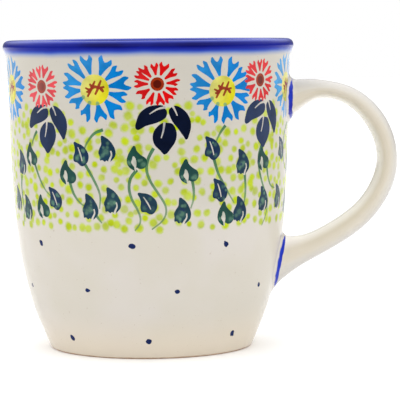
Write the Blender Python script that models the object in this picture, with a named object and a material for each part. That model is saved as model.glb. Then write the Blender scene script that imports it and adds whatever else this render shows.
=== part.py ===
"""A stoneware mug: a turned body, an ear-shaped strap handle, and the slip joint at each root of the handle.

The frame is in metres with +Z up. The origin is the centre of the foot's flat underside, on the body's
axis, and +X points from the axis to the handle. Lengths below are in millimetres, times MM.
"""

import math

import bmesh
import bpy
from mathutils import Vector
from mathutils.geometry import interpolate_bezier

MM = 0.001

# Body: its outer side as (radius, height) from the foot to the start of the lip
FOOT_RADIUS = 30.6 * MM
OUTER_SIDE = [
    (31.2, 0.6), (32.8, 4.3), (36.5, 14.0), (40.4, 32.0),
    (42.3, 55.0), (42.95, 76.0), (43.25, 87.0),
]
LIP_OUTSIDE = [(43.9, 90.3), (44.5, 92.2), (44.0, 93.6), (42.5, 94.2)]
LIP_INSIDE = [(40.9, 93.7), (39.8, 92.3), (39.0, 90.3)]
WALL = 4.8 * MM
INNER_FLOOR = [(30.4, 12.6), (27.6, 9.3), (22.5, 7.4), (12.0, 6.6), (0.0, 6.5)]
TURNS = 72
LIP_STEPS = 2  # points between two control points of the lip
MERGE_DISTANCE = 0.01 * MM

# Handle: matching points on its outer and its inner edge, from the upper root round to the lower root
HANDLE_EDGES = [
    ((39.5, 81.2), (39.5, 66.4)),
    ((46.5, 81.5), (45.6, 71.6)),
    ((54.0, 81.3), (52.3, 75.9)),
    ((64.6, 78.2), (61.4, 73.5)),
    ((73.2, 69.4), (68.1, 65.5)),
    ((76.6, 57.8), (70.35, 57.4)),
    ((74.6, 47.2), (68.2, 49.2)),
    ((66.9, 36.5), (62.6, 41.9)),
    ((54.9, 28.6), (51.8, 35.1)),
    ((45.2, 23.4), (45.4, 33.0)),
    ((36.0, 16.0), (36.0, 33.4)),
]
STRAP_WIDTH = 12.5 * MM
UPPER_ROOT_WIDTH = 17.0 * MM
LOWER_ROOT_WIDTH = 15.5 * MM
FLARE_REACH = 0.16  # share of the handle's length over which a root flares
STRAP_SQUARENESS = 2.5  # exponent of the section: 2 is an ellipse, more is squarer
SECTION_SIDES = 28

# Slip joints: a pad between the wall and each root, with a gap on both of its sides
GAP = 0.3 * MM
PAD_THICKNESS = 1.2 * MM
PAD_OVERHANG = 0.9 * MM
PAD_SPANS = 3  # a pad is cut from this many spans between control points at its end of the handle
STEPS = 3  # points between two control points of a smooth curve

# Finishes, as (colour, roughness)
WHITE_GLAZE = (0.70, 0.66, 0.60), 0.22
CREAM_GLAZE = (0.68, 0.62, 0.52), 0.24
COBALT_SLIP = (0.06, 0.13, 0.42), 0.30
SHARP_DEGREES = 40.0  # edges that bend more than this are shaded sharp


def start_clean():
    for thing in list(bpy.data.objects):
        bpy.data.objects.remove(thing, do_unlink=True)


def make_material(name, finish):
    color, roughness = finish
    material = bpy.data.materials.new(name)
    material.use_nodes = True
    shader = material.node_tree.nodes["Principled BSDF"]
    shader.inputs["Base Color"].default_value = (*color, 1.0)
    shader.inputs["Roughness"].default_value = roughness
    shader.inputs["Metallic"].default_value = 0.0
    return material


def smooth_curve(points, steps=STEPS):
    """A rounded curve through all the points, which are any tuples of two or three numbers."""
    knots = [Vector(point) for point in points]
    count = len(knots)
    slopes = [knots[min(i + 1, count - 1)] - knots[max(i - 1, 0)] for i in range(count)]
    curve = [knots[0]]
    for i in range(count - 1):
        start, end = knots[i], knots[i + 1]
        reach = (end - start).length / 3.0
        leave = start + slopes[i].normalized() * reach
        arrive = end - slopes[i + 1].normalized() * reach
        curve += interpolate_bezier(start, leave, arrive, end, steps + 1)[1:]
    return curve


def outer_side():
    """(radius, height) in metres up the body's outer side."""
    return [point * MM for point in smooth_curve(OUTER_SIDE)]


def body_profile():
    """The body's section from the floor's centre up the inside, over the lip and down the outside."""
    outside = outer_side()
    lip = [point * MM for point in smooth_curve([OUTER_SIDE[-1]] + LIP_OUTSIDE + LIP_INSIDE, LIP_STEPS)]
    floor = [point * MM for point in smooth_curve(INNER_FLOOR)]
    lowest = floor[0].y + WALL
    inside = [Vector((point.x - WALL, point.y)) for point in outside if lowest < point.y < lip[-1].y - WALL]
    upward = list(reversed(floor)) + inside + list(reversed(lip))
    foot = [Vector((FOOT_RADIUS, 0.0)), Vector((0.0, 0.0))]
    return upward + list(reversed(outside))[1:] + foot


def make_object(name, vertices, edges, faces):
    mesh = bpy.data.meshes.new(name)
    mesh.from_pydata(vertices, edges, faces)
    thing = bpy.data.objects.new(name, mesh)
    bpy.context.collection.objects.link(thing)
    return thing


def turn(name, profile):
    """A solid turned about Z from (radius, height) points that start and end on the axis."""
    corners = [(point[0], 0.0, point[1]) for point in profile]
    edges = [(i, i + 1) for i in range(len(corners) - 1)]
    thing = make_object(name, corners, edges, [])
    screw = thing.modifiers.new("turn", "SCREW")
    screw.steps = TURNS
    screw.render_steps = TURNS
    screw.use_merge_vertices = True
    screw.merge_threshold = MERGE_DISTANCE
    return thing


def wall_cutter(name, distance):
    """The body's outer side as a full solid, moved out by a distance, to trim what meets the wall."""
    side = outer_side()
    column = [Vector((0.0, side[-1].y))] + [Vector((p.x + distance, p.y)) for p in reversed(side)]
    thing = turn(name, column + [Vector((0.0, side[0].y))])
    thing.hide_render = True
    thing.display_type = "WIRE"
    return thing


def root_flare(share):
    """1 at the end of a root, falling smoothly to 0 at FLARE_REACH along the handle."""
    rest = max(0.0, 1.0 - share / FLARE_REACH)
    return rest * rest * (3.0 - 2.0 * rest)


def handle_sections(overhang):
    """Rings of points along the handle, each a rounded section between its outer and inner edge."""
    outer = smooth_curve([pair[0] for pair in HANDLE_EDGES])
    inner = smooth_curve([pair[1] for pair in HANDLE_EDGES])
    rings = []
    for i, (far, near) in enumerate(zip(outer, inner)):
        share = i / (len(outer) - 1)
        middle = (far + near) / 2.0 * MM
        across = (far - near) / 2.0 * MM
        across += across.normalized() * overhang
        flared = STRAP_WIDTH
        flared += (UPPER_ROOT_WIDTH - STRAP_WIDTH) * root_flare(share)
        flared += (LOWER_ROOT_WIDTH - STRAP_WIDTH) * root_flare(1.0 - share)
        rings.append(section_ring(middle, across, flared / 2.0 + overhang))
    return rings


def section_ring(middle, across, half_width):
    """A superellipse with half its height along across, in XZ, and half_width along Y."""
    ring = []
    for k in range(SECTION_SIDES):
        angle = 2.0 * math.pi * k / SECTION_SIDES
        rise = math.copysign(abs(math.sin(angle)) ** (2.0 / STRAP_SQUARENESS), math.sin(angle))
        reach = math.copysign(abs(math.cos(angle)) ** (2.0 / STRAP_SQUARENESS), math.cos(angle))
        spot = middle + across * rise
        ring.append((spot.x, reach * half_width, spot.y))
    return ring


def loft(name, rings):
    """A closed tube through the rings, with a flat cap at each end."""
    sides = len(rings[0])
    faces = [tuple(range(sides))]
    for i in range(len(rings) - 1):
        low, high = i * sides, (i + 1) * sides
        for k in range(sides):
            after = (k + 1) % sides
            faces.append((low + k, high + k, high + after, low + after))
    faces.append(tuple(reversed(range(len(rings) * sides - sides, len(rings) * sides))))
    thing = make_object(name, [corner for ring in rings for corner in ring], [], faces)
    shape = bmesh.new()
    shape.from_mesh(thing.data)
    bmesh.ops.recalc_face_normals(shape, faces=shape.faces)
    shape.to_mesh(thing.data)
    shape.free()
    return thing


def cut(thing, cutter, operation="DIFFERENCE"):
    modifier = thing.modifiers.new(operation.lower(), "BOOLEAN")
    modifier.operation = operation
    modifier.object = cutter
    modifier.solver = "EXACT"


def finish_piece(thing, material, parent):
    thing.data.materials.append(material)
    thing.data.shade_smooth()
    thing.data.set_sharp_from_angle(angle=math.radians(SHARP_DEGREES))
    thing.parent = parent


def build_body(parent):
    body = turn("cup_body", body_profile())
    finish_piece(body, make_material("white_glaze", WHITE_GLAZE), parent)


def build_handle(parent):
    handle = loft("handle", handle_sections(0.0))
    cut(handle, wall_cutter("handle_end_cutter", 2.0 * GAP + PAD_THICKNESS))
    finish_piece(handle, make_material("cream_glaze", CREAM_GLAZE), parent)


def build_slip_joints(parent):
    """Each pad is a slice of the handle's root, a little larger all round, that follows the wall."""
    slip = make_material("cobalt_slip", COBALT_SLIP)
    outer_limit = wall_cutter("pad_outer_cutter", GAP + PAD_THICKNESS)
    inner_limit = wall_cutter("pad_inner_cutter", GAP)
    rings = handle_sections(PAD_OVERHANG)
    root_rings = PAD_SPANS * STEPS
    roots = {"upper_handle_joint": rings[:root_rings], "lower_handle_joint": rings[-root_rings:]}
    for name, root in roots.items():
        pad = loft(name, root)
        cut(pad, outer_limit, "INTERSECT")
        cut(pad, inner_limit)
        finish_piece(pad, slip, parent)


def main():
    start_clean()
    mug = bpy.data.objects.new("mug", None)
    bpy.context.collection.objects.link(mug)
    build_body(mug)
    build_handle(mug)
    build_slip_joints(mug)


main()
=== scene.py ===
import math
import random

import bmesh
import bpy
import numpy as np
from mathutils import Matrix, Vector
from mathutils.geometry import delaunay_2d_cdt, interpolate_bezier


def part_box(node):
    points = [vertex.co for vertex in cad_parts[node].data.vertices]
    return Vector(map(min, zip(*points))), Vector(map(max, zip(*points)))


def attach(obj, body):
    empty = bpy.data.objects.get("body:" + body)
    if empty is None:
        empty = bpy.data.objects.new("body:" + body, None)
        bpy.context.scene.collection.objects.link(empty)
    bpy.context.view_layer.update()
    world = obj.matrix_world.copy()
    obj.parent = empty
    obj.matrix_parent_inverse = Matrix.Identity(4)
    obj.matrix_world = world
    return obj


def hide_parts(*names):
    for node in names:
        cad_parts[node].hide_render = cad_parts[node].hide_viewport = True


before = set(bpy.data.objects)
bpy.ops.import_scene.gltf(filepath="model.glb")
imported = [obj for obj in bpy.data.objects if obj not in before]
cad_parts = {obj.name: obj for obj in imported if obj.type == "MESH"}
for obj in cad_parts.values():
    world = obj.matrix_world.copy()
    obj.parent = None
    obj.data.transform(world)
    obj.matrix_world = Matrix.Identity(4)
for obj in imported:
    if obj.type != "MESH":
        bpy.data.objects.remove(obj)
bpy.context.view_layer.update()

# The looks of a stamped and painted stoneware mug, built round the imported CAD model.
#
# Lengths are in millimetres until a mesh is made, and MM turns them into metres. Places on the wall are
# given as (turn, height): the turn in degrees round the axis from the side opposite +Y, with the handle
# at 90, and the height above the foot. Painted shapes are drawn flat, in millimetres along the wall.

MM = 0.001
BODY_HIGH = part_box("cup_body")[1]
RIM_RADIUS = BODY_HIGH[0] / MM
HEIGHT = BODY_HIGH[2] / MM
HANDLE_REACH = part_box("handle")[1][0] / MM
SEED = 11


# ---- Curves ----

def smooth_curve(points, steps=4, closed=False):
    """A rounded curve through all the points, as 2-D vectors."""
    knots = [Vector(point) for point in points]
    count = len(knots)

    def slope(i):
        if closed:
            return knots[(i + 1) % count] - knots[i - 1]
        return knots[min(i + 1, count - 1)] - knots[max(i - 1, 0)]

    curve = [] if closed else [knots[0]]
    for i in range(count if closed else count - 1):
        start, end = knots[i], knots[(i + 1) % count]
        reach = (end - start).length / 3.0
        leave = start + slope(i).normalized() * reach
        arrive = end - slope((i + 1) % count).normalized() * reach
        curve += interpolate_bezier(start, leave, arrive, end, steps + 1)[1:]
    return curve


def turned(point, degrees):
    """A 2-D point turned anticlockwise about the origin."""
    angle = math.radians(degrees)
    return Vector((
        point[0] * math.cos(angle) - point[1] * math.sin(angle),
        point[0] * math.sin(angle) + point[1] * math.cos(angle),
    ))


# ---- The turned body's section, as (radius, height) ----

OUTER_SIDE = [
    (31.2, 0.6), (32.8, 4.3), (36.5, 14.0), (40.4, 32.0), (42.3, 55.0), (42.95, 76.0), (43.25, 87.0),
]
LIP = [
    (43.9, 90.3), (RIM_RADIUS, 92.2), (44.0, 93.6), (42.5, HEIGHT), (40.9, 93.7), (39.8, 92.3), (39.0, 90.3),
]
INNER_SIDE = [(38.45, 87.0), (38.15, 76.0), (37.5, 55.0), (35.6, 32.0), (33.2, 20.0)]
INNER_FLOOR = [(30.4, 12.6), (27.6, 9.3), (22.5, 7.4), (12.0, 6.6), (0.0, 6.5)]
FOOT_RING = [
    (30.9, 0.25), (30.3, 0.0), (28.6, 0.0), (27.9, 0.2), (27.3, 0.8), (26.5, 1.0), (12.0, 1.0), (0.0, 1.0),
]
PAINT_LEVELS = (2.0, 88.6)  # the painted wall has even rows between these heights
FLARE_LEVELS = (89.4, 90.2, 91.0)  # and these last rows, where the lip flares
PAINT_BOTTOM, PAINT_TOP = PAINT_LEVELS[0], FLARE_LEVELS[-1]
UNROLL_RADIUS = 43.0
COLUMNS = 192
ROW_PITCH = 2.2
SEAM_TURN = 90.0  # the unrolled wall is joined here, behind the handle

WALL_STEPS = 16
WALL_LINE = smooth_curve(OUTER_SIDE + LIP[:2], WALL_STEPS)
WALL_HEIGHTS = [point.y for point in WALL_LINE]
WALL_RADII = [point.x for point in WALL_LINE]


def wall_radius(height):
    """The radius of the outer side at a height."""
    return float(np.interp(height, WALL_HEIGHTS, WALL_RADII))


def along(turn):
    """Millimetres along the unrolled wall for a turn in degrees."""
    return math.radians(turn) * UNROLL_RADIUS


def wrap(distance, height):
    """The place on the wall, in millimetres, of a point of the unrolled drawing."""
    angle = distance / UNROLL_RADIUS
    radius = wall_radius(height)
    return Vector((radius * math.sin(angle), -radius * math.cos(angle), height))


# ---- Inks ----

def linear(red, green, blue):
    """A colour given as 0 to 255 on a screen, as linear values."""
    channels = [value / 255.0 for value in (red, green, blue)]
    return tuple(c / 12.92 if c <= 0.04045 else ((c + 0.055) / 1.055) ** 2.4 for c in channels)


SKY_BLUE = linear(2, 116, 190)
PALE_BLUE = linear(74, 162, 212)
POLLEN_YELLOW = linear(206, 198, 30)
WATERY_YELLOW = linear(208, 204, 122)
MOSS = linear(84, 150, 118)
STAMEN_BROWN = linear(138, 48, 32)
RED = linear(200, 10, 12)
PALE_RED = linear(214, 84, 92)
HEART_BROWN = linear(88, 18, 6)
HEART_RED = linear(150, 44, 12)
PALE_HEART = linear(160, 92, 86)
NAVY = linear(6, 15, 38)
PALE_NAVY = linear(52, 74, 116)
LEAF_BLUE = linear(24, 40, 80)
LEAF_TEAL = linear(20, 46, 74)
LEAF_GREEN = linear(30, 74, 56)
PATCH_GREEN = linear(90, 130, 106)
PATCH_BLUE = linear(22, 40, 84)
STEM_GREEN = linear(60, 110, 74)
STEM_PALE = linear(128, 158, 104)
LIME = linear(174, 191, 14)
DAB_BLUE = linear(16, 34, 84)
RIM_LIGHT = linear(36, 66, 178)
RIM_BLUE = linear(20, 32, 148)
RIM_DEEP = linear(3, 3, 88)
# Paler cobalt for the lip's crest: a painted highlight
RIM_HIGHLIGHT = linear(58, 74, 184)
RIM_WASH = linear(112, 136, 194)


def blend(one, other, share):
    """A colour part of the way, from 0 to 1, between two others."""
    share = min(1.0, max(0.0, share))
    return tuple(a + (b - a) * share for a, b in zip(one, other))


def flat_ink(color, cover=1.0):
    """An ink that is the same all over a shape."""
    return lambda x, z: (*color, cover)


def soft_ink(spot, reach, color, cover):
    """An ink that is full up to half of its reach from a spot and fades out over the rest."""
    def ink(x, z):
        out = (Vector((x, z)) - spot).length / reach
        return (*color, cover * min(1.0, max(0.0, (1.0 - out) / 0.5)))
    return ink


def stamped_ink(spot, tilt, strong, pale, ink_and_glare, reach):
    """An ink that gets paler towards a stamp's left side, partly uneven ink and partly a painted reflection
    of the brighter light from the left, and paler all over with a low load, which stands for little ink in
    the stamp and, near the front's sides, painted glare.
    """
    def ink(x, z):
        out = turned(Vector((x, z)) - spot, -tilt) / reach
        return (*blend(pale, strong, ink_and_glare + 0.25 * out.x - 0.10 * out.y), 1.0)
    return ink


# Painted shapes: (layer, outline, ink), where ink gives red, green, blue and cover at a point of the
# drawing. The layers are named from the lowest up.
DOTS, STEMS, LEAVES, PATCHES, GAPS, PETALS, HEARTS, STAINS, MARKS = range(9)
shapes = []


def paint(layer, outline, ink):
    shapes.append((layer, [tuple(point) for point in outline], ink))


def placed(points, turn, height, tilt=0.0):
    """Points of a stamp, moved to a place on the wall."""
    spot = Vector((along(turn), height))
    return [spot + turned(point, tilt) for point in points]


# ---- Stamps ----

# The round end of a petal's tip, as (outward, sideways) from its middle, in halves of its thickness
LOBE = [(-1.9, 1.15), (-0.6, 0.8), (0.4, 0.1), (-0.55, -0.65)]
# A petal's flank, as shares of its length, of half its spread and of half its thickness
FLANK = [(0.0, 0.0, 0.7), (0.28, 0.30, 0.75), (0.60, 0.74, 0.95)]
NOTCH = 0.74  # how far along a petal its notch reaches


def forked_petal(direction, root, left_reach, right_reach, spread, thickness):
    """A petal that widens from its root to two round tips with a notch between them."""
    length = (left_reach + right_reach) / 2.0 - root
    half = spread / 2.0
    tip = thickness / 2.0
    flank = [(root + run * length, side * half + body * tip) for run, side, body in FLANK]
    left = [(left_reach + out * tip, half + across * tip) for out, across in LOBE]
    right = [(right_reach + out * tip, -half - across * tip) for out, across in LOBE]
    outline = [(root - 0.3 * tip, 0.0)] + flank + left + [(root + NOTCH * length, 0.0)] + right[::-1]
    outline += [(x, -z) for x, z in flank[::-1]]
    return [turned(point, direction) for point in smooth_curve(outline, 2, closed=True)]


def disc(radius, sides):
    return [turned((radius, 0.0), 360.0 * i / sides) for i in range(sides)]


def stroke(points, widths):
    """A brush stroke along a smooth curve, with its widths at its start, middle and end."""
    spine = smooth_curve(points)
    left, right = [], []
    for i, point in enumerate(spine):
        share = i / (len(spine) - 1)
        width = np.interp(share, (0.0, 0.5, 1.0), widths)
        run = spine[min(i + 1, len(spine) - 1)] - spine[max(i - 1, 0)]
        side = Vector((-run.y, run.x)).normalized() * width / 2.0
        left.append(point + side)
        right.append(point - side)
    return left + right[::-1]


# Petals: direction in degrees, reach of the left and of the right tip, spread between the tips
DAISY_PETALS = [
    (105, 10.1, 9.6, 2.6), (66, 9.8, 9.6, 2.9), (37, 9.4, 10.0, 2.1), (9.5, 10.5, 10.8, 2.8),
    (-16, 9.8, 9.9, 2.0), (-46, 10.0, 10.2, 3.3), (-78, 9.3, 9.5, 2.8), (-112, 9.7, 8.6, 2.3),
    (-146, 8.3, 9.1, 2.4), (-174, 9.9, 10.2, 2.5), (163, 10.4, 10.7, 2.5), (134, 11.0, 10.5, 2.0),
]
ASTER_PETALS = [
    (99, 5.9, 6.0, 1.4), (69, 6.3, 6.5, 2.0), (34, 6.6, 6.4, 1.4), (4, 6.6, 5.8, 1.1),
    (-23, 6.2, 6.2, 1.3), (-52, 6.2, 6.3, 1.8), (-81, 6.2, 6.0, 1.7), (-113, 6.3, 6.5, 1.2),
    (-147, 6.1, 6.6, 2.0), (179, 6.6, 6.5, 1.4), (154, 6.9, 6.9, 1.3), (132, 7.0, 6.4, 1.6),
]
DAISY_ROOT, DAISY_THICKNESS, DAISY_HEART = 4.4, 1.2, 4.5
DAISY_FADE, ASTER_FADE = 10.0, 16.0  # the stamps' reach in the fading of their ink
HEART_DROP, HEART_LOAD = 0.3, 0.62
HEART_RINGS = (1.0, 0.6, 0.25)  # shares of the heart's radius where its uneven ink has corners
STAINED_PETALS, STAIN_RADIUS = (-78, -112, -146), 0.62
ASTER_ROOT, ASTER_THICKNESS, ASTER_HEART = 2.7, 0.85, 2.0
STAMEN_WIDTHS = (0.5, 0.95, 0.6)
STAMENS = [
    [(0.2, 2.3), (-0.4, 1.1), (-1.1, -0.3), (-2.2, -2.3)],
    [(2.1, 2.5), (1.5, 1.2), (1.1, 0.1), (0.2, -1.7)],
    [(-2.9, 0.3), (-1.5, -0.2), (0.1, 0.6), (1.4, 0.3), (3.1, 0.6)],
    [(-1.5, 1.5), (-0.9, 0.8), (-0.2, 0.5)],
    [(-2.6, -0.9), (-1.6, -0.7), (-1.0, -0.2)],
    [(1.4, 0.5), (2.3, -0.3), (2.8, -0.9)],
]


def daisy(turn, height, tilt, ink_and_glare):
    """A blue flower: forked petals, a watery yellow heart and brown stamens."""
    spot = Vector((along(turn), height))
    blue = stamped_ink(spot, tilt, SKY_BLUE, PALE_BLUE, ink_and_glare, DAISY_FADE)
    for direction, left_reach, right_reach, spread in DAISY_PETALS:
        petal = forked_petal(direction, DAISY_ROOT, left_reach, right_reach, spread, DAISY_THICKNESS)
        paint(PETALS, placed(petal, turn, height, tilt), blue)
    yellow = stamped_ink(spot, tilt, POLLEN_YELLOW, WATERY_YELLOW, HEART_LOAD, 0.5 * DAISY_HEART)
    for share in HEART_RINGS:
        paint(HEARTS, placed(disc(share * DAISY_HEART, 24), turn, height - HEART_DROP, tilt), yellow)
    for direction in STAINED_PETALS:
        root = turned((DAISY_HEART - 0.2, 0.0), direction)
        stain = [point + root for point in disc(STAIN_RADIUS, 10)]
        paint(STAINS, placed(stain, turn, height, tilt), flat_ink(MOSS, 0.7))
    for path in STAMENS:
        paint(MARKS, placed(stroke(path, STAMEN_WIDTHS), turn, height, tilt), flat_ink(STAMEN_BROWN, 0.97))


def aster(turn, height, tilt, ink_and_glare):
    """A red flower: short forked petals round a brown heart."""
    spot = Vector((along(turn), height))
    red = stamped_ink(spot, tilt, RED, PALE_RED, ink_and_glare, ASTER_FADE)
    for direction, left_reach, right_reach, spread in ASTER_PETALS:
        petal = forked_petal(direction, ASTER_ROOT, left_reach, right_reach, spread, ASTER_THICKNESS)
        paint(PETALS, placed(petal, turn, height, tilt), red)
    for share, color in ((1.0, HEART_RED), (0.6, HEART_BROWN)):
        ink = flat_ink(blend(PALE_HEART, color, 0.3 + 0.7 * ink_and_glare))
        paint(HEARTS, placed(disc(share * ASTER_HEART, 16), turn, height, tilt), ink)


SPRAY_LEAVES = [  # the left, right and low leaf, each as its outline and its bare slit
    (
        [(1.5, 2.4), (-0.9, 2.5), (-3.2, 1.9), (-5.3, 0.2), (-6.3, -2.2), (-6.6, -4.0), (-5.7, -4.6),
         (-3.6, -3.5), (-0.4, -2.6), (2.1, -1.3), (2.7, 0.1), (2.4, 1.2), (1.6, 1.7)],
        [(2.2, 1.9), (0.0, 1.4), (-2.4, 0.0)],
    ),
    (
        [(4.9, 2.3), (6.4, 1.9), (8.3, 0.4), (9.5, -1.6), (9.8, -3.9), (9.2, -6.2), (8.4, -7.6),
         (7.5, -6.6), (5.9, -4.4), (4.3, -2.4), (3.3, -0.2), (3.2, 1.1), (4.0, 1.9)],
        [(4.3, 2.2), (5.0, 1.0), (5.7, -0.6)],
    ),
    (
        [(2.9, -2.6), (4.2, -2.9), (5.1, -4.2), (5.5, -6.2), (5.0, -8.2), (3.6, -10.2), (1.9, -11.8),
         (0.6, -10.6), (-1.0, -9.0), (-1.6, -7.0), (-1.2, -5.0), (0.1, -3.4), (1.4, -2.6)],
        [(1.9, -2.4), (1.6, -4.6), (0.9, -7.0)],
    ),
]
SPRAY_SLIT_WIDTHS = (0.7, 0.5, 0.3)


def spray(turn, height, tilt, ink_and_glare):
    """Three dark leaves under a red flower, each split by a thin bare line."""
    ink = flat_ink(blend(PALE_NAVY, NAVY, ink_and_glare))
    for leaf, slit in SPRAY_LEAVES:
        paint(LEAVES, placed(smooth_curve(leaf, 3, closed=True), turn, height, tilt), ink)
        bare = stroke(slit, SPRAY_SLIT_WIDTHS)
        paint(GAPS, placed(bare, turn, height, tilt), flat_ink(PALE_NAVY, 0.15))


# Vine leaves: outline, bare gap, the gap's widths where it is a stroke and not an outline, and soft green
# patches (x, z, radius)
VINE_LEAVES = {
    "bud": (
        [(-0.9, 4.4), (0.3, 3.8), (1.2, 3.0), (2.1, 1.6), (2.7, -0.2), (2.5, -1.8), (1.6, -2.8), (0.3, -3.5),
         (-0.4, -2.9), (-1.0, -3.2), (-1.7, -2.6), (-2.4, -2.6), (-2.4, -1.4), (-2.6, -0.3), (-2.0, 0.9),
         (-1.3, 2.0), (-1.2, 3.2)],
        [(0.2, -3.6), (0.7, -2.6), (1.35, -1.5), (1.3, -0.3)],
        (0.75, 0.5, 0.4),
        [(-0.2, -0.3, 1.5), (-1.4, -1.3, 0.9), (0.7, 2.0, 0.8)],
    ),
    "open": (
        [(-0.6, 3.8), (0.1, 2.3), (1.35, 1.0), (2.7, 0.0), (3.0, -1.6), (2.1, -2.8), (0.75, -3.0),
         (-0.2, -2.6), (-0.6, -3.4), (-1.5, -3.1), (-2.5, -2.2), (-3.0, -0.7), (-2.6, 1.0), (-1.7, 2.6)],
        [(-1.05, 0.8), (-0.35, 0.1), (-0.1, -1.3), (-0.3, -2.6), (-0.5, -3.7), (-0.8, -2.4), (-1.7, -1.1),
         (-1.3, -0.2)],
        None,
        [(1.9, -1.7, 1.2), (-2.1, -1.4, 0.8)],
    ),
    "slit": (
        [(-2.3, 3.6), (-1.0, 3.3), (0.5, 2.7), (1.8, 1.5), (2.6, -0.1), (2.4, -1.8), (1.5, -2.9), (0.6, -3.4),
         (-0.3, -3.2), (-1.2, -2.4), (-2.4, -2.0), (-2.5, -0.6), (-2.0, 0.8), (-2.1, 2.2)],
        [(-0.9, 2.1), (-0.4, 0.9), (0.1, -0.6), (0.4, -1.9)],
        (0.25, 0.42, 0.3),
        [(-1.3, -1.1, 1.1), (0.9, -1.9, 1.0), (0.9, 1.1, 0.9)],
    ),
}
BLOT_STRAY = 1.3  # how far the small blots stray from a patch


def vine_leaf(kind, turn, height, tilt, greenness, rng):
    """One leaf of the vine, with a bare slit, eye or crescent and green patches."""
    outline, gap, gap_widths, patches = VINE_LEAVES[kind]
    dark = blend(LEAF_BLUE, LEAF_TEAL, rng.random())
    ink = flat_ink(blend(dark, LEAF_GREEN, greenness))
    paint(LEAVES, placed(smooth_curve(outline, 3, closed=True), turn, height, tilt), ink)
    strength = rng.uniform(0.15, 0.5)
    for x, z, radius in patches:
        blot(turn, height, tilt, (x, z), radius, PATCH_GREEN, strength)
        for _ in range(2):
            near = (x + rng.uniform(-BLOT_STRAY, BLOT_STRAY), z + rng.uniform(-BLOT_STRAY, BLOT_STRAY))
            color = rng.choice((PATCH_GREEN, PATCH_BLUE))
            blot(turn, height, tilt, near, rng.uniform(0.4, 0.8), color, rng.uniform(0.2, 0.6))
    bare = stroke(gap, gap_widths) if gap_widths else smooth_curve(gap, 2, closed=True)
    paint(GAPS, placed(bare, turn, height, tilt), flat_ink(PATCH_GREEN, 0.12))


def blot(turn, height, tilt, middle, radius, color, cover):
    """A soft round blot of ink inside a leaf, with its middle given within the leaf's stamp."""
    spot = placed([middle], turn, height, tilt)[0]
    for share in (1.0, 0.5):
        ring = [spot + point for point in disc(share * radius, 8)]
        paint(PATCHES, ring, soft_ink(spot, radius, color, cover))


STEM_WIDTHS, STEM_FADE = (1.0, 0.75, 0.4), 0.45


def stem(points, shift):
    """A tapering stem through (turn, height) points, paler towards its lower end."""
    path = [(along(turn + shift), height) for turn, height in points]
    top, bottom = path[0][1], path[-1][1]

    def ink(x, z):
        share = (top - z) / max(1.0, top - bottom)
        return (*blend(STEM_GREEN, STEM_PALE, STEM_FADE * share), 0.98 - 0.16 * share)

    paint(STEMS, stroke(path, STEM_WIDTHS), ink)


DAB_SIDES, DAB_UNEVENNESS, DAB_STRETCH = 9, 0.22, (1.25, 0.85)


def dab(turn, height, size, tilt, rng):
    """A small navy touch of the brush, uneven all round."""
    reaches = [size * (1.0 + rng.uniform(-DAB_UNEVENNESS, DAB_UNEVENNESS)) for _ in range(DAB_SIDES)]
    ring = [turned((reach, 0.0), 360.0 * i / DAB_SIDES) for i, reach in enumerate(reaches)]
    outline = [(x * DAB_STRETCH[0], z * DAB_STRETCH[1]) for x, z in ring]
    paint(MARKS, placed(smooth_curve(outline, 2, closed=True), turn, height, tilt), flat_ink(DAB_BLUE))


def dot(turn, height, radius, cover):
    """A soft lime dot, full in its middle and fading out at its edge."""
    ink = soft_ink(Vector((along(turn), height)), radius, LIME, cover)
    for share in (1.0, 0.75, 0.5):
        paint(DOTS, placed(disc(share * radius, 10), turn, height), ink)


# ---- Layout of the pattern: turns in degrees, heights in millimetres ----

# Flowers: (turn, height, ink load); the low loads of the front's left and right flowers also stand for
# painted glare
DAISIES = [
    (-73.5, 80.0, 0.6), (-21.4, 80.4, 0.88), (30.0, 79.6, 0.97), (74.3, 80.0, 0.6), (127.5, 80.3, 0.85),
    (180.7, 79.8, 0.95), (234.0, 80.4, 0.75),
]
ASTERS = [
    (-47.0, 80.9, 0.24), (3.3, 81.7, 1.0), (49.8, 82.2, 0.72), (100.6, 82.0, 0.9), (154.0, 81.5, 0.6),
    (207.5, 82.0, 1.0), (260.0, 81.4, 0.8),
]
SPRAYS = [
    (-47.0, 73.1, 0.68), (3.4, 73.1, 1.0), (49.8, 73.9, 0.58), (154.0, 73.2, 0.8), (207.5, 73.7, 1.0),
    (260.0, 73.2, 0.6),
]
DAISY_TILTS, ASTER_TILTS, SPRAY_TILTS = (1.5, 0.0, -1.0, 2.0), (3.0, 0.0, -4.0), (0.0, 0.0, -1.5)  # in turn

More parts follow.
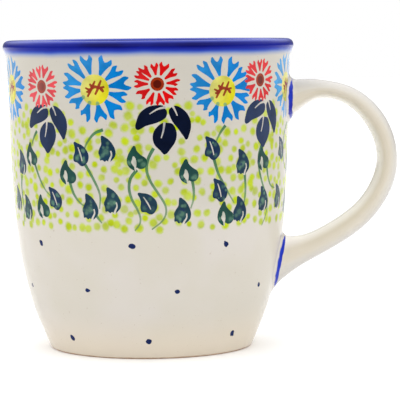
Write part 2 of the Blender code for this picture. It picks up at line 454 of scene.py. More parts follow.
# Each vine is a list of leaves (kind, turn, height, tilt, greenness) and a list of stems
VINES = {
    "hook": (
        [("slit", -28.0, 61.3, 0, 0.1), ("bud", -17.0, 62.6, 8, 0.2), ("open", -34.4, 55.8, 0, 0.75),
         ("bud", -24.8, 45.6, 5, 0.35), ("bud", -15.3, 47.6, 5, 0.35)],
        [[(-18.2, 68.6), (-22.0, 67.4), (-25.2, 64.6), (-26.8, 62.0)],
         [(-26.8, 59.2), (-22.8, 54.2), (-20.2, 49.6), (-20.6, 45.5)],
         [(-33.6, 53.2), (-32.0, 49.8), (-29.4, 47.3), (-27.2, 46.2)],
         [(-22.6, 44.0), (-21.2, 42.6), (-19.8, 41.3)]],
    ),
    "twins": (
        [("open", -5.0, 60.2, 0, 0.8), ("slit", -0.8, 47.2, 12, 0.3)],
        [[(1.6, 63.2), (-0.5, 60.2), (-1.2, 57.0), (0.3, 53.5), (3.3, 50.0), (5.9, 46.8), (6.4, 44.4),
          (4.9, 42.0), (0.6, 39.5)],
         [(-5.0, 57.0), (-7.6, 54.4), (-8.2, 51.4), (-7.2, 48.4), (-5.2, 45.6), (-4.0, 43.2), (-4.2, 41.2),
          (-6.2, 39.2)]],
    ),
    "short": (
        [("open", 15.5, 56.2, 0, 0.7), ("bud", 13.0, 44.3, 0, 0.4)],
        [[(16.8, 54.4), (17.6, 50.8), (17.5, 48.0), (16.4, 45.4)]],
    ),
    "long": (
        [("slit", 25.5, 62.7, 0, 0.15), ("slit", 29.2, 50.3, 4, 0.1), ("open", 32.2, 43.3, 0, 0.8),
         ("bud", 39.3, 44.0, 6, 0.2), ("bud", 40.0, 58.0, 6, 0.3)],
        [[(31.3, 69.3), (29.0, 67.3), (26.6, 64.0)],
         [(25.9, 60.2), (28.0, 55.6), (30.6, 52.4), (33.2, 49.4), (36.2, 46.4)],
         [(41.0, 56.2), (42.0, 50.6), (41.6, 46.6), (40.6, 44.6)]],
    ),
    "arch": (
        [("open", 52.6, 58.8, 0, 0.8), ("bud", 66.6, 46.6, 14, 0.25), ("bud", 53.6, 46.4, 4, 0.3)],
        [[(51.0, 62.8), (49.4, 60.0), (49.8, 56.2), (52.0, 52.2), (54.8, 48.6), (57.0, 44.8), (56.0, 41.6),
          (53.6, 38.8)],
         [(55.2, 57.0), (56.4, 53.6), (59.0, 50.6), (62.8, 49.6)]],
    ),
    "edge": (
        [("bud", -63.7, 57.6, 6, 0.3), ("bud", -61.0, 44.2, 4, 0.5), ("bud", -71.0, 46.4, 4, 0.4),
         ("open", -55.2, 60.6, 0, 0.75), ("slit", -41.6, 48.0, 8, 0.15), ("open", -49.3, 45.3, 0, 0.7)],
        [[(-50.8, 67.8), (-53.0, 65.8), (-54.8, 63.4)],
         [(-53.2, 58.2), (-50.8, 54.4), (-47.6, 50.8), (-44.0, 48.6)],
         [(-64.8, 54.2), (-66.0, 50.4), (-65.6, 46.4), (-65.0, 43.2), (-66.8, 39.4)]],
    ),
    "loop": (
        [("slit", 68.8, 61.2, 0, 0.2)],
        [[(80.0, 69.0), (75.4, 67.6), (72.0, 64.2), (71.4, 60.2), (73.6, 56.6), (79.4, 54.0)]],
    ),
}
FRONT_VINES = [(name, 0.0) for name in VINES]
BACK_VINES = [  # vines used again, each moved on by some degrees
    ("short", 66.5), ("twins", 106.0), ("long", 97.0), ("twins", 153.0), ("short", 152.0), ("long", 151.0),
    ("twins", 207.0), ("short", 206.0), ("long", 204.5), ("twins", 260.0), ("short", 259.0),
]
DOT_BAND = (39.4, 75.5)
DOT_RADII, DOT_COVERS = (1.2, 1.9), (0.82, 1.0)
DOT_PITCH, CROWDED_PITCH = 2.7, 0.6 * 2.7  # least spacing of the dots, and of the few that crowd together
LOOSE_SHARE = 0.92  # share of the dots that keep the wider spacing
DOT_TRIES = 9000
SEAM_MARGIN, SEAM_CLEAR = 2.0, 0.2  # bare strip beside the seam: degrees without dots, and millimetres
DAISY_CLEARING, ASTER_CLEARING = 11.2, 7.6  # radius round a flower that is kept free of dots
DAB_STRAY = 0.5
DAB_ROWS = [  # height, size, turns
    (34.3, 0.85, (-98, -53, -7.5, 33, 79, 125, 170, 216)),
    (20.6, 0.72, (-116, -70, -29, 11.5, 58, 103, 148, 194)),
    (6.0, 1.0, (-88, -45, -1.5, 46, 91, 136, 181, 227)),
]


def place_flowers():
    for stamp, places, tilts in (
        (daisy, DAISIES, DAISY_TILTS), (aster, ASTERS, ASTER_TILTS), (spray, SPRAYS, SPRAY_TILTS),
    ):
        for i, (turn, height, ink_and_glare) in enumerate(places):
            stamp(turn, height, tilts[i % len(tilts)], ink_and_glare)


def place_vines(rng):
    for name, shift in FRONT_VINES + BACK_VINES:
        leaves, stems = VINES[name]
        for points in stems:
            stem(points, shift)
        for kind, turn, height, tilt, greenness in leaves:
            vine_leaf(kind, turn + shift, height, tilt + rng.uniform(-4.0, 4.0), greenness, rng)


def near_a_flower(turn, height):
    for flowers, clearing in ((DAISIES, DAISY_CLEARING), (ASTERS, ASTER_CLEARING)):
        for where, level, _ in flowers:
            if math.hypot(along(turn - where), height - level) < clearing:
                return True
    return False


def place_dots(rng):
    """Dots spread over the vine band by rejection, so that few of them touch."""
    first, last = SEAM_TURN - 360.0 + SEAM_MARGIN, SEAM_TURN - SEAM_MARGIN
    dots = []
    for _ in range(DOT_TRIES):
        turn, height = rng.uniform(first, last), rng.uniform(*DOT_BAND)
        spacing = DOT_PITCH if rng.random() < LOOSE_SHARE else CROWDED_PITCH
        if near_a_flower(turn, height):
            continue
        if any(math.hypot(along(turn - t), height - z) < spacing for t, z in dots):
            continue
        dots.append((turn, height))
        dot(turn, height, rng.uniform(*DOT_RADII), rng.uniform(*DOT_COVERS))


def place_dabs(rng):
    for height, size, turns in DAB_ROWS:
        for turn in turns:
            dab(turn, height + rng.uniform(-DAB_STRAY, DAB_STRAY), size, rng.uniform(-50.0, 10.0), rng)


def moved_ink(ink, shift):
    return lambda x, z: ink(x - shift, z)


def fold_turns():
    """Moves the shapes drawn past the seam a whole turn back, and drops any that the seam would cut."""
    low, high = along(SEAM_TURN - 360.0), along(SEAM_TURN)
    kept = []
    for layer, outline, ink in shapes:
        middle = sum(x for x, z in outline) / len(outline)
        shift = 0.0
        if middle > high:
            shift = low - high
        elif middle < low:
            shift = high - low
        moved = [(x + shift, z) for x, z in outline]
        if min(x for x, z in moved) > low + SEAM_CLEAR and max(x for x, z in moved) < high - SEAM_CLEAR:
            kept.append((layer, moved, moved_ink(ink, shift)))
    shapes[:] = kept


# ---- The body's mesh ----

NO_INK = (1.0, 1.0, 1.0, 0.0)
LEAST_COVER = 1e-4
WELD_DISTANCE = 1e-4  # points closer than this are one point
ROW_CLEAR = 0.2  # least step in height from the painted wall to the rings next to it


def unrolled_grid():
    """Rows of points of the painted wall, from its bottom to its top, each going all round."""
    low, high = PAINT_LEVELS
    rows = round((high - low) / ROW_PITCH)
    heights = [low + (high - low) * i / rows for i in range(rows + 1)] + list(FLARE_LEVELS)
    start = along(SEAM_TURN - 360.0)
    step = along(360.0) / COLUMNS
    return [[(start + step * k, height) for k in range(COLUMNS + 1)] for height in heights]


def over(top, bottom):
    """One ink over another, each as red, green, blue and cover."""
    cover = top[3] + bottom[3] * (1.0 - top[3])
    if cover < LEAST_COVER:
        return (*bottom[:3], 0.0)
    mixed = [(a * top[3] + b * bottom[3] * (1.0 - top[3])) / cover for a, b in zip(top[:3], bottom[:3])]
    return (*mixed, cover)


def ink_at(owners, x, z):
    """The ink at a corner of a triangle, from the shapes that hold the triangle, lowest layer first.
    Dots lie under everything else and don't add up, patches show only on leaves, and gaps bare the glaze."""
    result = None
    soft = None
    on_leaf = any(shapes[index][0] == LEAVES for index in owners)
    for index in owners:
        layer, _, ink = shapes[index]
        if layer == PATCHES and not on_leaf:
            continue
        color = ink(x, z)
        if layer == DOTS:
            soft = color if soft is None or color[3] > soft[3] else soft
        elif layer == GAPS:
            result, soft = color, None
        else:
            result = color if result is None else over(color, result)
    if soft is not None:
        result = soft if result is None else over(result, soft)
    return result or NO_INK


def inside(outline, spots):
    """Which spots, given as rows of an array, a closed outline turns round."""
    start = np.array(outline)
    end = np.roll(start, -1, axis=0)
    x, z = spots[:, :1], spots[:, 1:]
    rising = (start[:, 1] <= z) & (end[:, 1] > z)
    falling = (start[:, 1] > z) & (end[:, 1] <= z)
    side = (end[:, 0] - start[:, 0]) * (z - start[:, 1]) - (x - start[:, 0]) * (end[:, 1] - start[:, 1])
    return (rising & (side > 0)).sum(axis=1) != (falling & (side < 0)).sum(axis=1)


def painted_wall():
    """The unrolled wall cut along every painted outline: its points, its triangles, the ink at each corner
    of each triangle, and the numbers of the points in each row of the grid."""
    rows = unrolled_grid()
    points = [point for row in rows for point in row]
    grid_size = len(points)
    edges = []
    for _, outline, _ in shapes:
        first, count = len(points), len(outline)
        edges += [(first + i, first + (i + 1) % count) for i in range(count)]
        points += outline
    cut = delaunay_2d_cdt([Vector(point) for point in points], edges, [], 0, WELD_DISTANCE, True)
    flat, triangles, sources = np.array(cut[0]), cut[2], cut[3]
    number = {source: i for i, held in enumerate(sources) for source in held if source < grid_size}
    width = COLUMNS + 1
    grid = [[number[row * width + k] for k in range(width)] for row in range(len(rows))]

    centres = flat[np.array(triangles)].mean(axis=1)
    owners = [[] for _ in triangles]
    for index, (_, outline, _) in enumerate(shapes):
        reach = (centres > np.min(outline, axis=0)) & (centres < np.max(outline, axis=0))
        near = np.flatnonzero(reach.all(axis=1))
        for hit in near[inside(outline, centres[near])]:
            owners[hit].append(index)
    inks = [ink_at(held_by, *flat[i]) for triangle, held_by in zip(triangles, owners) for i in triangle]
    return flat, triangles, inks, grid


def lathe_lines():
    """The rest of the section: from the painted wall's top over the lip and inside to the floor's centre,
    and from its bottom under the foot to the centre of the base."""
    around = smooth_curve(OUTER_SIDE + LIP + INNER_SIDE + INNER_FLOOR, 5)
    first = next(i for i, point in enumerate(around) if point.y > PAINT_TOP + ROW_CLEAR)
    lower_side = [point for point in smooth_curve(OUTER_SIDE, 8) if point.y < PAINT_BOTTOM - ROW_CLEAR]
    under = smooth_curve([OUTER_SIDE[0]] + FOOT_RING, 3)[1:]
    return around[first:], lower_side[::-1] + [Vector((point.x, max(0.0, point.y))) for point in under]


def mesh_object(name, vertices, faces):
    mesh = bpy.data.meshes.new(name)
    mesh.from_pydata([Vector(v) * MM for v in vertices], [], faces)
    mesh.shade_smooth()
    piece = bpy.data.objects.new(name, mesh)
    bpy.context.collection.objects.link(piece)
    return piece


def line_normals(line):
    """Outward normals, as (radial, up), of a section line that runs with the solid on its right."""
    normals = []
    for i in range(len(line)):
        run = line[min(i + 1, len(line) - 1)] - line[max(i - 1, 0)]
        normals.append(Vector((run.y, -run.x)).normalized())
    return normals


LEAN_STEP = 0.4
ON_AXIS = 1e-6
RING_ANGLES = [math.radians(SEAM_TURN - 360.0 + 360.0 * k / COLUMNS) for k in range(COLUMNS)]


def wall_normal(distance, height):
    """The outward normal of the wall at a point of the unrolled drawing."""
    lean = (wall_radius(height + LEAN_STEP) - wall_radius(height - LEAN_STEP)) / (2.0 * LEAN_STEP)
    angle = distance / UNROLL_RADIUS
    return Vector((math.sin(angle), -math.cos(angle), -lean)).normalized()


def add_rings(line, ring, downward, vertices, normals, faces):
    """Turns a section line into rings that go on from a first ring, and closes them on the axis.
    A line that runs downward has the solid on its left."""
    for point, normal in zip(line, line_normals(line)):
        if downward:
            normal = -normal
        centre = point.x < ON_AXIS
        fresh = []
        for angle in RING_ANGLES[:1] if centre else RING_ANGLES:
            fresh.append(len(vertices))
            vertices.append(Vector((point.x * math.sin(angle), -point.x * math.cos(angle), point.y)))
            outward = Vector((normal.x * math.sin(angle), -normal.x * math.cos(angle), normal.y))
            normals.append(Vector((0.0, 0.0, math.copysign(1.0, normal.y))) if centre else outward)
        for k in range(COLUMNS):
            after = (k + 1) % COLUMNS
            face = (ring[k], ring[after]) + ((fresh[0],) if centre else (fresh[after], fresh[k]))
            faces.append(face[::-1] if downward else face)
        ring = fresh


def build_body():
    flat, triangles, inks, grid = painted_wall()
    vertices = [wrap(x, z) for x, z in flat]
    normals = [wall_normal(x, z) for x, z in flat]
    closing = {row[-1]: row[0] for row in grid}  # the wall's last column is its first one again
    faces = [tuple(closing.get(corner, corner) for corner in triangle) for triangle in triangles]
    upper, lower = lathe_lines()
    add_rings(upper, grid[-1][:-1], False, vertices, normals, faces)
    add_rings(lower, grid[0][:-1], True, vertices, normals, faces)

    shift = np.cumsum(np.isin(np.arange(len(vertices)), sorted(closing)))
    vertices = [vertex for i, vertex in enumerate(vertices) if i not in closing]
    normals = [normal for i, normal in enumerate(normals) if i not in closing]
    faces = [tuple(corner - int(shift[corner]) for corner in face) for face in faces]
    body = mesh_object("cup", vertices, faces)
    corner_inks = inks + [NO_INK] * (len(body.data.loops) - len(inks))
    layer = body.data.color_attributes.new(name="ink", type="FLOAT_COLOR", domain="CORNER")
    layer.data.foreach_set("color", [value for ink in corner_inks for value in ink])
    body.data.normals_split_custom_set_from_vertices(normals)
    body.data.materials.append(body_material())
    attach(body, "root")
    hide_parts("cup_body")


# ---- The handle and the fillets at its roots ----

HANDLE_EDGES = [  # matching points on the outer and the inner edge, from the upper root to the lower
    ((39.5, 81.2), (39.5, 66.4)), ((46.5, 81.5), (45.6, 71.6)), ((54.0, 81.3), (52.3, 75.9)),
    ((64.6, 78.2), (61.4, 73.5)), ((73.2, 69.4), (68.1, 65.5)), ((HANDLE_REACH, 57.8), (70.35, 57.4)),
    ((74.6, 47.2), (68.2, 49.2)), ((66.9, 36.5), (62.6, 41.9)), ((54.9, 28.6), (51.8, 35.1)),
    ((45.2, 23.4), (45.4, 33.0)), ((36.0, 16.0), (36.0, 33.4)),
]
STRAP_WIDTH, UPPER_ROOT_WIDTH, LOWER_ROOT_WIDTH = 12.5, 17.0, 15.5
FLARE_REACH = 0.16  # share of the handle's length over which a root flares
STRAP_SQUARENESS = 2.1  # exponent of the section: 2 is an ellipse, more is squarer
STRAP_SIDES = 56
STRAP_STEPS = 14
EASING = 30  # passes that even out the bends between the handle's control points
FILLET = 2.6
COLLAR_STEPS = 28
COLLAR_START, COLLAR_END = 1.25, -0.25  # in fillets off the wall: it ends tucked inside
COLLAR_TUCK = 0.4  # slope by which the collar's start sinks into the handle
LINE_LEVEL, LINE_HALF_WIDTH = 0.95, 0.68
LINE_BREAK, LINE_TAPER, LINE_TRIM = 0.12, 0.8, 0.1  # the line thins out towards the strap's middle


def root_flare(share):
    """1 at the end of a root, falling smoothly to 0 at FLARE_REACH along the handle."""
    rest = max(0.0, 1.0 - share / FLARE_REACH)
    return rest * rest * (3.0 - 2.0 * rest)


def eased(line):
    """A line with its bends evened out and its ends kept."""
    for _ in range(EASING):
        threes = zip(line, line[1:], line[2:])
        inner = [(before + 2.0 * point + after) / 4.0 for before, point, after in threes]
        line = [line[0]] + inner + [line[-1]]
    return line


def strap_sections():
    """Rings of points along the handle, each a rounded section between its outer and its inner edge."""
    outer = eased(smooth_curve([pair[0] for pair in HANDLE_EDGES], STRAP_STEPS))
    inner = eased(smooth_curve([pair[1] for pair in HANDLE_EDGES], STRAP_STEPS))
    power = 2.0 / STRAP_SQUARENESS
    rings = []
    for i, (far, near) in enumerate(zip(outer, inner)):
        share = i / (len(outer) - 1)
        middle, across = (far + near) / 2.0, (far - near) / 2.0
        width = STRAP_WIDTH
        width += (UPPER_ROOT_WIDTH - STRAP_WIDTH) * root_flare(share)
        width += (LOWER_ROOT_WIDTH - STRAP_WIDTH) * root_flare(1.0 - share)
        ring = []
        for k in range(STRAP_SIDES):
            angle = 2.0 * math.pi * k / STRAP_SIDES
            rise = math.copysign(abs(math.sin(angle)) ** power, math.sin(angle))
            reach = math.copysign(abs(math.cos(angle)) ** power, math.cos(angle))
            spot = middle + across * rise
            ring.append(Vector((spot.x, reach * width / 2.0, spot.y)))
        rings.append(ring)
    return rings


def tube(name, rings):
    """A closed tube through rings of points, and the place of each vertex round and along it."""
    sides = len(rings[0])
    faces = [tuple(range(sides))]
    for i in range(len(rings) - 1):
        low, high = i * sides, (i + 1) * sides
        for k in range(sides):
            after = (k + 1) % sides
            faces.append((low + k, high + k, high + after, low + after))
    faces.append(tuple(reversed(range((len(rings) - 1) * sides, len(rings) * sides))))
    piece = mesh_object(name, [point for ring in rings for point in ring], faces)
    shape = bmesh.new()
    shape.from_mesh(piece.data)
    bmesh.ops.recalc_face_normals(shape, faces=shape.faces)
    shape.to_mesh(piece.data)
    shape.free()
    flow = piece.data.attributes.new(name="flow", type="FLOAT_VECTOR", domain="POINT")
    travel = 0.0
    for i, ring in enumerate(rings):
        if i:
            travel += (sum(ring, Vector()) - sum(rings[i - 1], Vector())).length / sides
        for k in range(sides):
            angle = 2.0 * math.pi * k / sides
            flow.data[i * sides + k].vector = (math.cos(angle), math.sin(angle), travel * MM)
    return piece


def clearance(point):
    """How far a point stands off the body's wall."""
    return math.hypot(point.x, point.y) - wall_radius(point.z)


def crossing(line, level):
    """The point of a line, walked away from the wall, where it first stands level clear of it."""
    for here, there in zip(line, line[1:]):
        low, high = clearance(here), clearance(there)
        if low <= level < high:
            return here.lerp(there, (level - low) / (high - low))
    return line[0]


def build_collar(name, rings, node):
    """The slip round a root: a concave fillet from the handle to the wall, with a cobalt line on its sides.
    The rings start inside the wall and run outwards."""
    strips = list(zip(*rings))
    fall = COLLAR_START - COLLAR_END
    levels = [FILLET * (COLLAR_START - fall * i / COLLAR_STEPS) for i in range(COLLAR_STEPS + 1)]
    centre = sum((crossing(strip, 0.0) for strip in strips), Vector()) / STRAP_SIDES
    collar_rings = []
    for level in levels:
        rest = min(1.0, max(0.0, 1.0 - level / FILLET))
        spread = FILLET * (1.0 - math.sqrt(1.0 - rest * rest))
        if level > FILLET:
            spread = COLLAR_TUCK * (FILLET - level)
        ring = []
        for strip in strips:
            point = crossing(strip, level)
            away = point - centre
            outward = Vector((point.x, point.y, 0.0)).normalized()
            point = point + (away - outward * away.dot(outward)).normalized() * spread
            hug = (wall_radius(point.z) + level) / math.hypot(point.x, point.y)
            ring.append(Vector((point.x * hug, point.y * hug, point.z)))
        collar_rings.append(ring)
    collar = tube(name, collar_rings)
    line = collar.data.attributes.new(name="line", type="FLOAT", domain="POINT")
    gap = collar.data.attributes.new(name="gap", type="FLOAT", domain="POINT")
    wide = max(abs(point.y) for point in collar_rings[0])
    for i, (level, ring) in enumerate(zip(levels, collar_rings)):
        for k, point in enumerate(ring):
            side = min(1.0, max(0.0, abs(point.y) / wide - LINE_BREAK))
            half = LINE_HALF_WIDTH * side ** LINE_TAPER - LINE_TRIM
            gap.data[i * STRAP_SIDES + k].value = level
            line.data[i * STRAP_SIDES + k].value = half - abs(level - LINE_LEVEL)
    collar.data.materials.append(collar_material())
    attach(collar, "root")
    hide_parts(node)


def build_handle():
    rings = strap_sections()
    handle = tube("strap_handle", rings)
    handle.data.materials.append(handle_material())
    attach(handle, "root")
    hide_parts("handle")
    half = len(rings) // 2
    build_collar("upper_collar", rings[:half], "upper_handle_joint")
    build_collar("lower_collar", rings[:half:-1], "lower_handle_joint")


# ---- Materials ----

NARROW, WIDE = (0.35, 0.65), (0.3, 0.7)  # ranges of a noise over which a drift goes from end to end


class Tree:
    """Short ways to add and link nodes."""

    def __init__(self, tree):
        self.tree = tree

    def add(self, kind, inputs=(), **settings):
        node = self.tree.nodes.new(kind)
        for key, value in settings.items():
            setattr(node, key, value)
        for key, value in dict(inputs).items():
            self.set(node.inputs[key], value)
        return node

    def set(self, socket, value):
        if isinstance(value, bpy.types.NodeSocket):
            self.tree.links.new(value, socket)
        elif isinstance(value, tuple) and len(value) == 3 and socket.type == "RGBA":
            socket.default_value = (*value, 1.0)
        else:
            socket.default_value = value

    def place(self, kind="Object"):
        return self.add("ShaderNodeTexCoord").outputs[kind]

    def split(self, vector):
        return self.add("ShaderNodeSeparateXYZ", {"Vector": vector}).outputs

    def attribute(self, name):
        return self.add("ShaderNodeAttribute", attribute_name=name, attribute_type="GEOMETRY").outputs

    def noise(self, vector, scale, detail=3.0, roughness=0.5):
        inputs = {"Vector": vector, "Scale": scale, "Detail": detail, "Roughness": roughness}
        return self.add("ShaderNodeTexNoise", inputs).outputs["Fac"]

    def ramp(self, value, low, high, to_low=0.0, to_high=1.0):
        inputs = {"Value": value, "From Min": low, "From Max": high, "To Min": to_low, "To Max": to_high}
        node = self.add("ShaderNodeMapRange", inputs, clamp=True, interpolation_type="SMOOTHSTEP")
        return node.outputs["Result"]

    def across(self, length, edge, to_low=0.0, to_high=1.0):
        """A ramp over an edge given as two lengths in millimetres."""
        return self.ramp(length, edge[0] * MM, edge[1] * MM, to_low, to_high)

    def drift(self, place, scale, detail=3.0, to=(0.0, 1.0), over=WIDE):
        """A value that drifts from one end to the other as a noise passes over a range."""
        return self.ramp(self.noise(place, scale, detail), *over, *to)

    def math(self, operation, one, other=0.0):
        node = self.add("ShaderNodeMath", operation=operation)
        self.set(node.inputs[0], one)
        self.set(node.inputs[1], other)
        return node.outputs["Value"]

    def mix(self, share, one, other, blend_type="MIX"):
        node = self.add("ShaderNodeMix", {"Factor": share}, data_type="RGBA", blend_type=blend_type)
        for socket, color in zip([socket for socket in node.inputs if socket.type == "RGBA"], (one, other)):
            self.set(socket, color)
        return next(socket for socket in node.outputs if socket.type == "RGBA")

    def bump(self, height, distance):
        """The normal of a surface whose relief is this many millimetres deep."""
        return self.add("ShaderNodeBump", {"Height": height, "Distance": distance * MM}).outputs["Normal"]


class Finish(Tree):
    """The node tree of a new Principled material."""

    def __init__(self, name):
        self.material = bpy.data.materials.new(name)
        self.material.use_nodes = True
        super().__init__(self.material.node_tree)
        self.shader = self.tree.nodes["Principled BSDF"]

    def done(self, color, roughness, normal=None, specular=0.5):
        self.set(self.shader.inputs["Base Color"], color)
        self.set(self.shader.inputs["Roughness"], roughness)
        self.shader.inputs["Specular IOR Level"].default_value = specular
        if normal is not None:
            self.set(self.shader.inputs["Normal"], normal)
        return self.material


GLAZE_WHITE = linear(208, 202, 194)
GLAZE_WARM = linear(205, 199, 187)
GLAZE_BAND = linear(198, 193, 182)
GLAZE_FOOT = linear(221, 209, 190)
SPECK = linear(150, 120, 90)
CLAY_DARK = linear(182, 142, 110)
CLAY = linear(208, 174, 142)
CREAM_PALE = linear(217, 212, 203)
CREAM = linear(214, 207, 193)
# Strap colours with painted light and shade: a shaded middle, a lit inner side and a shaded outer side
CREAM_SHADE_AND_STREAKS = linear(214, 204, 185)
CREAM_PAINTED_LIGHT = linear(241, 236, 229)
CREAM_PAINTED_SHADE = linear(202, 198, 192)
LINE_BLUE = linear(30, 56, 184)
LINE_DEEP = linear(22, 34, 160)
FLOOR_PALE, FLOOR_WHITE = (0.90, 0.90, 0.90), (0.93, 0.93, 0.93)
GLAZE_SPECULAR = 0.1
GLAZE_ROUGHNESS, STRAP_ROUGHNESS, CLAY_ROUGHNESS, FLOOR_ROUGHNESS = (0.13, 0.2), (0.12, 0.2), 0.6, 0.7
GLAZE_RELIEF, STRAP_RELIEF = 0.12, 0.16

# Scales of the noises, per metre
BROAD, DRIP, POOLING, DIMPLE, SHADE = 45.0, 60.0, 70.0, 130.0, 240.0
WASH, FOOT_EDGE_GRAIN, CLAY_GRAIN, SPECKLE = 330.0, 420.0, 900.0, 1500.0
STRAP_DIMPLE, LINE_GRAIN, FLOOR_GRAIN = 140.0, 320.0, 30.0
STREAK_STRETCH = (7.0, 7.0, 25.0)  # streaks run along the strap

# Ends of the drifts, and ranges of the noises behind them
WASH_POWERS, SHADES = (0.4, 1.9), (0.84, 1.16)
SPECK_COVERS, SPECK_RANGE = (0.0, 0.35), (0.74, 0.80)
POOL_SHARES, POOL_RANGE = (0.45, 1.0), (0.3, 0.6)
LINE_UNEVENNESS, WARM_STREAKS = (-0.12, 0.12), (0.35, 0.7)

# Edges of the coats: lengths in millimetres over which each comes in
BAND_EDGE, FOOT_WARMTH, BARE_FOOT = (36.0, 52.0), (16.0, 1.0), (0.35, 0.75)
RIM_WASH_EDGE, RIM_COVER_EDGE, RIM_BLUE_EDGE = (89.0, 91.0), (90.2, 91.3), (90.9, 91.8)
# The crest's edge brings in a painted highlight on the lip
RIM_POOL_EDGE, RIM_HIGHLIGHT_EDGE = (91.6, 92.7), (93.2, 94.1)
RIM_WOBBLE, FOOT_WOBBLE = 1.2, 0.4
# The pools' deepening towards the plane of X = 0 is painted shade
SHADE_ASIDE = (34.0, 12.0)  # the rim's pools are deepest near the plane of X = 0
WHITE_GAP, LINE_EDGE = (0.3, 1.6), (-0.05, 0.15)

# Places across the strap, from -1 on its inner side to 1 on its outer side, for its painted light and shade
FLAT_SIDE, SHADED_MIDDLE_REACH = -0.3, (0.1, 0.8)
PAINTED_LIGHT_INSIDE, PAINTED_SHADE_OUTSIDE = (-0.35, -0.9), (0.1, 0.9)


def white_glaze(n, place, height, low):
    """The body's glaze: it drifts, is greyer from the dots up and warmer at the foot, and has fine specks."""
    glaze = n.mix(n.drift(place, BROAD, 2.0, over=NARROW), GLAZE_WHITE, GLAZE_WARM)
    glaze = n.mix(n.across(height, BAND_EDGE, 0.0, 0.9), glaze, GLAZE_BAND)
    glaze = n.mix(n.across(low, FOOT_WARMTH, 0.0, 0.8), glaze, GLAZE_FOOT)
    return n.mix(n.drift(place, SPECKLE, 1.0, SPECK_COVERS, SPECK_RANGE), glaze, SPECK)


def inked(n, place, glaze):
    """The painted inks over a glaze, washed out in places and uneven in shade."""
    ink = n.attribute("ink")
    cover = n.math("POWER", ink["Alpha"], n.drift(place, WASH, to=WASH_POWERS))
    shade = n.drift(place, SHADE, to=SHADES)
    grey = n.add("ShaderNodeCombineColor", {"Red": shade, "Green": shade, "Blue": shade}).outputs["Color"]
    return n.mix(cover, glaze, n.mix(1.0, ink["Color"], grey, "MULTIPLY"))


def cobalt_rim(n, place, height, aside, color):
    """Cobalt over the lip: it bleeds down in a pale wash and pools on the side, with painted shade deepening
    the pools towards the plane of X = 0 and a painted highlight paling the crest.
    """
    wobble = n.math("MULTIPLY", n.math("SUBTRACT", n.noise(place, DRIP, 2.0), 0.5), RIM_WOBBLE * MM)
    edge = n.math("ADD", height, wobble)
    color = n.mix(n.across(edge, RIM_WASH_EDGE), color, RIM_WASH)
    rim = n.mix(n.across(edge, RIM_BLUE_EDGE), RIM_LIGHT, RIM_BLUE)
    pool_shade = n.drift(place, POOLING, to=POOL_SHARES, over=POOL_RANGE)
    pool_shade = n.math("MULTIPLY", pool_shade, n.across(edge, RIM_POOL_EDGE))
    # Painted shade: the pools deepen towards the plane of X = 0
    pool_shade = n.math("MULTIPLY", pool_shade, n.across(aside, SHADE_ASIDE, 0.4, 1.0))
    rim = n.mix(pool_shade, rim, RIM_DEEP)
    # Painted highlight: the crest turns paler
    rim = n.mix(n.across(height, RIM_HIGHLIGHT_EDGE, 0.0, 0.7), rim, RIM_HIGHLIGHT)
    return n.mix(n.across(edge, RIM_COVER_EDGE), color, rim)


def body_material():
    n = Finish("painted_glaze")
    place = n.place()
    spot = n.split(place)
    height, aside = spot["Z"], n.math("ABSOLUTE", spot["X"])
    low = n.math("ADD", height, n.math("MULTIPLY", n.noise(place, FOOT_EDGE_GRAIN, 4.0), FOOT_WOBBLE * MM))
    color = inked(n, place, white_glaze(n, place, height, low))
    color = cobalt_rim(n, place, height, aside, color)
    bare = n.across(low, BARE_FOOT, 1.0, 0.0)
    color = n.mix(bare, color, n.mix(n.drift(place, CLAY_GRAIN, 5.0), CLAY_DARK, CLAY))
    sheen = n.drift(place, BROAD, 2.0, GLAZE_ROUGHNESS)
    roughness = n.math("ADD", n.math("MULTIPLY", bare, CLAY_ROUGHNESS), sheen)
    return n.done(color, roughness, n.bump(n.noise(place, DIMPLE, 2.0), GLAZE_RELIEF), GLAZE_SPECULAR)


def strap_glaze(n):
    """The cream glaze over pulled clay: faint streaks along the strap and drifts of colour, with painted
    light
    and shade: a warmer, darker middle of the flat sides is painted shade (the streaks' warmth is the glaze's
    own), the paler inner side is painted light and the greyer outer side is painted shade. Gives its colour,
    roughness and normal."""
    place = n.place()
    flow = n.attribute("flow")["Vector"]
    stretched = n.add("ShaderNodeVectorMath", {0: flow, 1: STREAK_STRETCH}, operation="MULTIPLY").outputs[0]
    streaks = n.noise(stretched, 1.0, 4.0, 0.6)
    outward = n.split(flow)["Y"]
    glaze = n.mix(n.drift(place, DRIP, over=NARROW), CREAM_PALE, CREAM)
    off_side = n.math("ABSOLUTE", n.math("ADD", outward, -FLAT_SIDE))
    shaded_middle = n.ramp(off_side, *SHADED_MIDDLE_REACH, 0.65, 0.0)
    shade_and_streaks = n.math("ADD", shaded_middle, n.ramp(streaks, *WARM_STREAKS, 0.0, 0.35))
    # Painted shade darkens and warms the middle of the flat sides; the streaks are the glaze's own
    glaze = n.mix(shade_and_streaks, glaze, CREAM_SHADE_AND_STREAKS)
    # Painted light on the strap's inner side
    glaze = n.mix(n.ramp(outward, *PAINTED_LIGHT_INSIDE), glaze, CREAM_PAINTED_LIGHT)
    # Painted shade on the strap's outer side
    glaze = n.mix(n.ramp(outward, *PAINTED_SHADE_OUTSIDE), glaze, CREAM_PAINTED_SHADE)
    relief = n.math("ADD", streaks, n.noise(place, STRAP_DIMPLE, 2.0))
    return glaze, n.ramp(streaks, *WIDE, *STRAP_ROUGHNESS), n.bump(relief, STRAP_RELIEF)


def handle_material():
    n = Finish("cream_glaze")
    return n.done(*strap_glaze(n), GLAZE_SPECULAR)


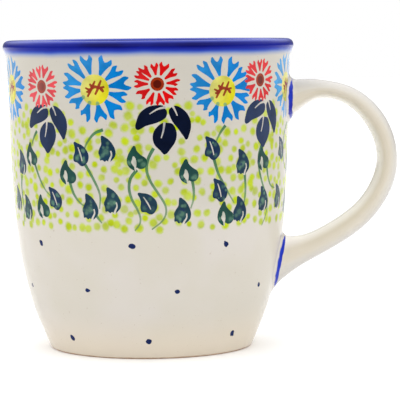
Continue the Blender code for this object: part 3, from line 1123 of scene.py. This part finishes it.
def collar_material():
    """The strap's glaze, turning into the body's white near the wall, with the cobalt line painted on it."""
    n = Finish("collar_glaze")
    glaze, roughness, normal = strap_glaze(n)
    place = n.place()
    color = n.mix(n.ramp(n.attribute("gap")["Fac"], *WHITE_GAP), GLAZE_WHITE, glaze)
    line = n.math("ADD", n.attribute("line")["Fac"], n.drift(place, LINE_GRAIN, 2.0, LINE_UNEVENNESS))
    ink = n.mix(n.drift(place, SHADE, over=NARROW), LINE_BLUE, LINE_DEEP)
    return n.done(n.mix(n.ramp(line, *LINE_EDGE), color, ink), roughness, normal, GLAZE_SPECULAR)


def floor_material():
    n = Finish("pale_floor")
    n.shader.inputs["Emission Color"].default_value = (1.0, 1.0, 1.0, 1.0)
    n.shader.inputs["Emission Strength"].default_value = FLOOR_GLOW
    return n.done(n.mix(n.drift(n.place(), FLOOR_GRAIN), FLOOR_PALE, FLOOR_WHITE), FLOOR_ROUGHNESS)


# ---- Stage: floor, light and camera ----

CAMERA_PLACE = (0.0, -673.27, 99.79)
CAMERA_YAW, CAMERA_PITCH, CAMERA_ROLL = 1.313, 4.687, 0.545
CAMERA_LENS, SENSOR_WIDTH, NEAR_CLIP = 196.98, 36.0, 0.01
FLOOR_SIDE, FLOOR_FRONT = 3000.0, 340.0
FLOOR_GLOW = 0.04


def build_floor():
    left, right, front, back = -FLOOR_SIDE, FLOOR_SIDE, -FLOOR_FRONT, FLOOR_SIDE
    corners = [(left, front, 0), (right, front, 0), (right, back, 0), (left, back, 0)]
    floor = mesh_object("floor", corners, [(0, 1, 2, 3)])
    floor.data.materials.append(floor_material())


def build_camera():
    yaw, pitch, roll = (math.radians(v) for v in (CAMERA_YAW, CAMERA_PITCH, CAMERA_ROLL))
    forward = Vector((math.sin(yaw) * math.cos(pitch), math.cos(yaw) * math.cos(pitch), -math.sin(pitch)))
    level = Vector((math.cos(yaw), -math.sin(yaw), 0.0))
    upright = level.cross(forward)
    right = level * math.cos(roll) - upright * math.sin(roll)
    up = level * math.sin(roll) + upright * math.cos(roll)
    data = bpy.data.cameras.new("camera")
    data.lens = CAMERA_LENS
    data.sensor_width = SENSOR_WIDTH
    data.clip_start = NEAR_CLIP
    camera = bpy.data.objects.new("camera", data)
    aim = Matrix((right, up, -forward)).transposed().to_4x4()
    camera.matrix_world = Matrix.Translation(Vector(CAMERA_PLACE) * MM) @ aim
    bpy.context.collection.objects.link(camera)
    bpy.context.scene.camera = camera


TOP_LIGHT, BACK_LIGHT, SIDE_LIGHT, FRONT_LIGHT = 1.64, 0.22, 0.55, 0.5
TOWARD_BACK, TOWARD_FRONT, UPWARD = (-0.1, 0.75), (-0.6, -0.1), (0.1, 0.5)  # where the light's parts meet


def build_light():
    """A soft box of light: bright above, dimmer all round, and plain white to the camera itself."""
    world = bpy.data.worlds.new("studio")
    bpy.context.scene.world = world
    world.use_nodes = True
    n = Tree(world.node_tree)
    toward = n.split(n.place("Generated"))
    back = n.ramp(toward["Y"], *TOWARD_BACK, SIDE_LIGHT, BACK_LIGHT)
    front = n.ramp(toward["Y"], *TOWARD_FRONT, FRONT_LIGHT, 1.0)
    around = n.math("MULTIPLY", back, front)
    above = n.ramp(toward["Z"], *UPWARD)
    level = n.add("ShaderNodeMix", {"Factor": above, "A": around, "B": TOP_LIGHT}).outputs["Result"]
    seen = n.add("ShaderNodeLightPath").outputs["Is Camera Ray"]
    level = n.add("ShaderNodeMix", {"Factor": seen, "A": level, "B": 1.0}).outputs["Result"]
    background = world.node_tree.nodes["Background"]
    background.inputs["Color"].default_value = (1.0, 1.0, 1.0, 1.0)
    n.set(background.inputs["Strength"], level)
    bpy.context.scene.view_settings.view_transform = "Standard"


# ---- The scene ----

def main():
    rng = random.Random(SEED)
    place_flowers()
    place_vines(rng)
    place_dots(rng)
    place_dabs(rng)
    fold_turns()
    shapes.sort(key=lambda shape: shape[0])
    build_body()
    build_handle()
    build_floor()
    build_light()
    build_camera()


main()
